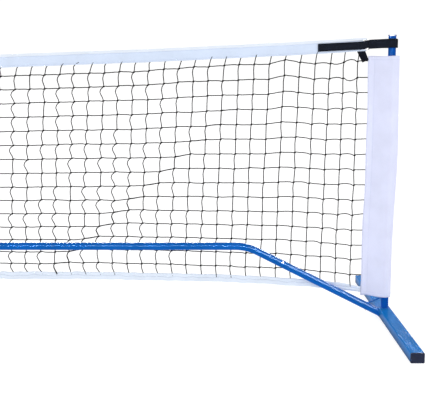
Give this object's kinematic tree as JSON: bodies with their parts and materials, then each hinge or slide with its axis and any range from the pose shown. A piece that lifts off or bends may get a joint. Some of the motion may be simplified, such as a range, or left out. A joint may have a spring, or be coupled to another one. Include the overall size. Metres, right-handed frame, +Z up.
{
  "type": "pickleball portable net",
  "caption": "Portable court net: knotted mesh with white tapes and end sleeves, strapped to a knock-down blue steel tube frame on long flat feet.",
  "frame": {"origin": "on the floor, under the middle of the net and the middle of the feet", "axes": "+X along the net to the right-hand post, +Y from the rails' side to the net's side, +Z up"},
  "size_m": [6.776, 0.94, 0.934],
  "materials": {
    "rail_paint": "glossy powder coat",
    "post_paint": "glossy powder coat",
    "foot_paint": "glossy powder coat",
    "foot_cap_plastic": "satin moulded plastic",
    "post_cap_plastic": "satin moulded plastic",
    "button_chrome": "polished",
    "spring_steel": "plain strip",
    "sleeve_fabric": "coated woven polyester",
    "tape_fabric": "coated woven polyester, stitched",
    "strap_webbing": "woven nylon webbing",
    "buckle_plastic": "moulded plastic",
    "net_cord": "twisted and knotted cord"
  },
  "bodies": {
    "root": {"foot_right": "foot_paint", "foot_caps_right": "foot_cap_plastic", "post_lower_right": "post_paint", "brace_right": "rail_paint", "stub_right": "rail_paint", "riser_right": "rail_paint", "elbow_right": "rail_paint", "rail_outer_right": "rail_paint", "rail_inner_right": "rail_paint", "button_springs_right": "spring_steel", "sleeve_right": "sleeve_fabric", "strap_right": "strap_webbing", "buckle_right": "buckle_plastic", "foot_left": "foot_paint", "foot_caps_left": "foot_cap_plastic", "post_lower_left": "post_paint", "brace_left": "rail_paint", "stub_left": "rail_paint", "riser_left": "rail_paint", "elbow_left": "rail_paint", "rail_outer_left": "rail_paint", "rail_inner_left": "rail_paint", "button_springs_left": "spring_steel", "sleeve_left": "sleeve_fabric", "strap_left": "strap_webbing", "buckle_left": "buckle_plastic", "middle_foot": "foot_paint", "middle_foot_caps": "foot_cap_plastic", "middle_leg": "post_paint", "middle_coupler": "rail_paint", "middle_socket": "post_paint", "middle_pole": "post_paint", "middle_pole_cap": "post_cap_plastic", "middle_pocket": "sleeve_fabric", "net_mesh": "net_cord", "top_tape": "tape_fabric", "bottom_tape": "tape_fabric"},
    "post_top_right": {"post_upper_right": "post_paint", "post_cap_right": "post_cap_plastic"},
    "stub_button_right": {"stub_button_right": "button_chrome"},
    "riser_button_right": {"riser_button_right": "button_chrome"},
    "elbow_button_right": {"elbow_button_right": "button_chrome"},
    "rail_button_right": {"rail_button_right": "button_chrome"},
    "coupler_button_right": {"coupler_button_right": "button_chrome"},
    "post_top_left": {"post_upper_left": "post_paint", "post_cap_left": "post_cap_plastic"},
    "stub_button_left": {"stub_button_left": "button_chrome"},
    "riser_button_left": {"riser_button_left": "button_chrome"},
    "elbow_button_left": {"elbow_button_left": "button_chrome"},
    "rail_button_left": {"rail_button_left": "button_chrome"},
    "coupler_button_left": {"coupler_button_left": "button_chrome"}
  },
  "joints": [
    {"name": "post_lift_right", "type": "slide", "parent": "root", "child": "post_top_right", "axis": [0, 0, 1], "range_m": [0, 0.048]},
    {"name": "stub_button_press_right", "type": "slide", "parent": "root", "child": "stub_button_right", "axis": [0.452, 0, 0.892], "range_m": [0, 0.0048], "stiffness_N_per_m": 600, "springref_m": -0.003, "deforming": ["button_springs_right"]},
    {"name": "riser_button_press_right", "type": "slide", "parent": "root", "child": "riser_button_right", "axis": [-0.2395, 0.848, -0.4727], "range_m": [0, 0.0048], "stiffness_N_per_m": 600, "springref_m": -0.003, "deforming": ["button_springs_right"]},
    {"name": "elbow_button_press_right", "type": "slide", "parent": "root", "child": "elbow_button_right", "axis": [0, 0.848, -0.5299], "range_m": [0, 0.0048], "stiffness_N_per_m": 600, "springref_m": -0.003, "deforming": ["button_springs_right"]},
    {"name": "rail_button_press_right", "type": "slide", "parent": "root", "child": "rail_button_right", "axis": [0, 0.848, -0.5299], "range_m": [0, 0.0048], "stiffness_N_per_m": 600, "springref_m": -0.003, "deforming": ["button_springs_right"]},
    {"name": "coupler_button_press_right", "type": "slide", "parent": "root", "child": "coupler_button_right", "axis": [0, 0.848, -0.5299], "range_m": [0, 0.0048], "stiffness_N_per_m": 600, "springref_m": -0.003, "deforming": ["button_springs_right"]},
    {"name": "post_lift_left", "type": "slide", "parent": "root", "child": "post_top_left", "axis": [0, 0, 1], "range_m": [0, 0.048]},
    {"name": "stub_button_press_left", "type": "slide", "parent": "root", "child": "stub_button_left", "axis": [-0.452, 0, 0.892], "range_m": [0, 0.0048], "stiffness_N_per_m": 600, "springref_m": -0.003, "deforming": ["button_springs_left"]},
    {"name": "riser_button_press_left", "type": "slide", "parent": "root", "child": "riser_button_left", "axis": [0.2395, 0.848, -0.4727], "range_m": [0, 0.0048], "stiffness_N_per_m": 600, "springref_m": -0.003, "deforming": ["button_springs_left"]},
    {"name": "elbow_button_press_left", "type": "slide", "parent": "root", "child": "elbow_button_left", "axis": [0, 0.848, -0.5299], "range_m": [0, 0.0048], "stiffness_N_per_m": 600, "springref_m": -0.003, "deforming": ["button_springs_left"]},
    {"name": "rail_button_press_left", "type": "slide", "parent": "root", "child": "rail_button_left", "axis": [0, 0.848, -0.5299], "range_m": [0, 0.0048], "stiffness_N_per_m": 600, "springref_m": -0.003, "deforming": ["button_springs_left"]},
    {"name": "coupler_button_press_left", "type": "slide", "parent": "root", "child": "coupler_button_left", "axis": [0, 0.848, -0.5299], "range_m": [0, 0.0048], "stiffness_N_per_m": 600, "springref_m": -0.003, "deforming": ["button_springs_left"]}
  ]
}
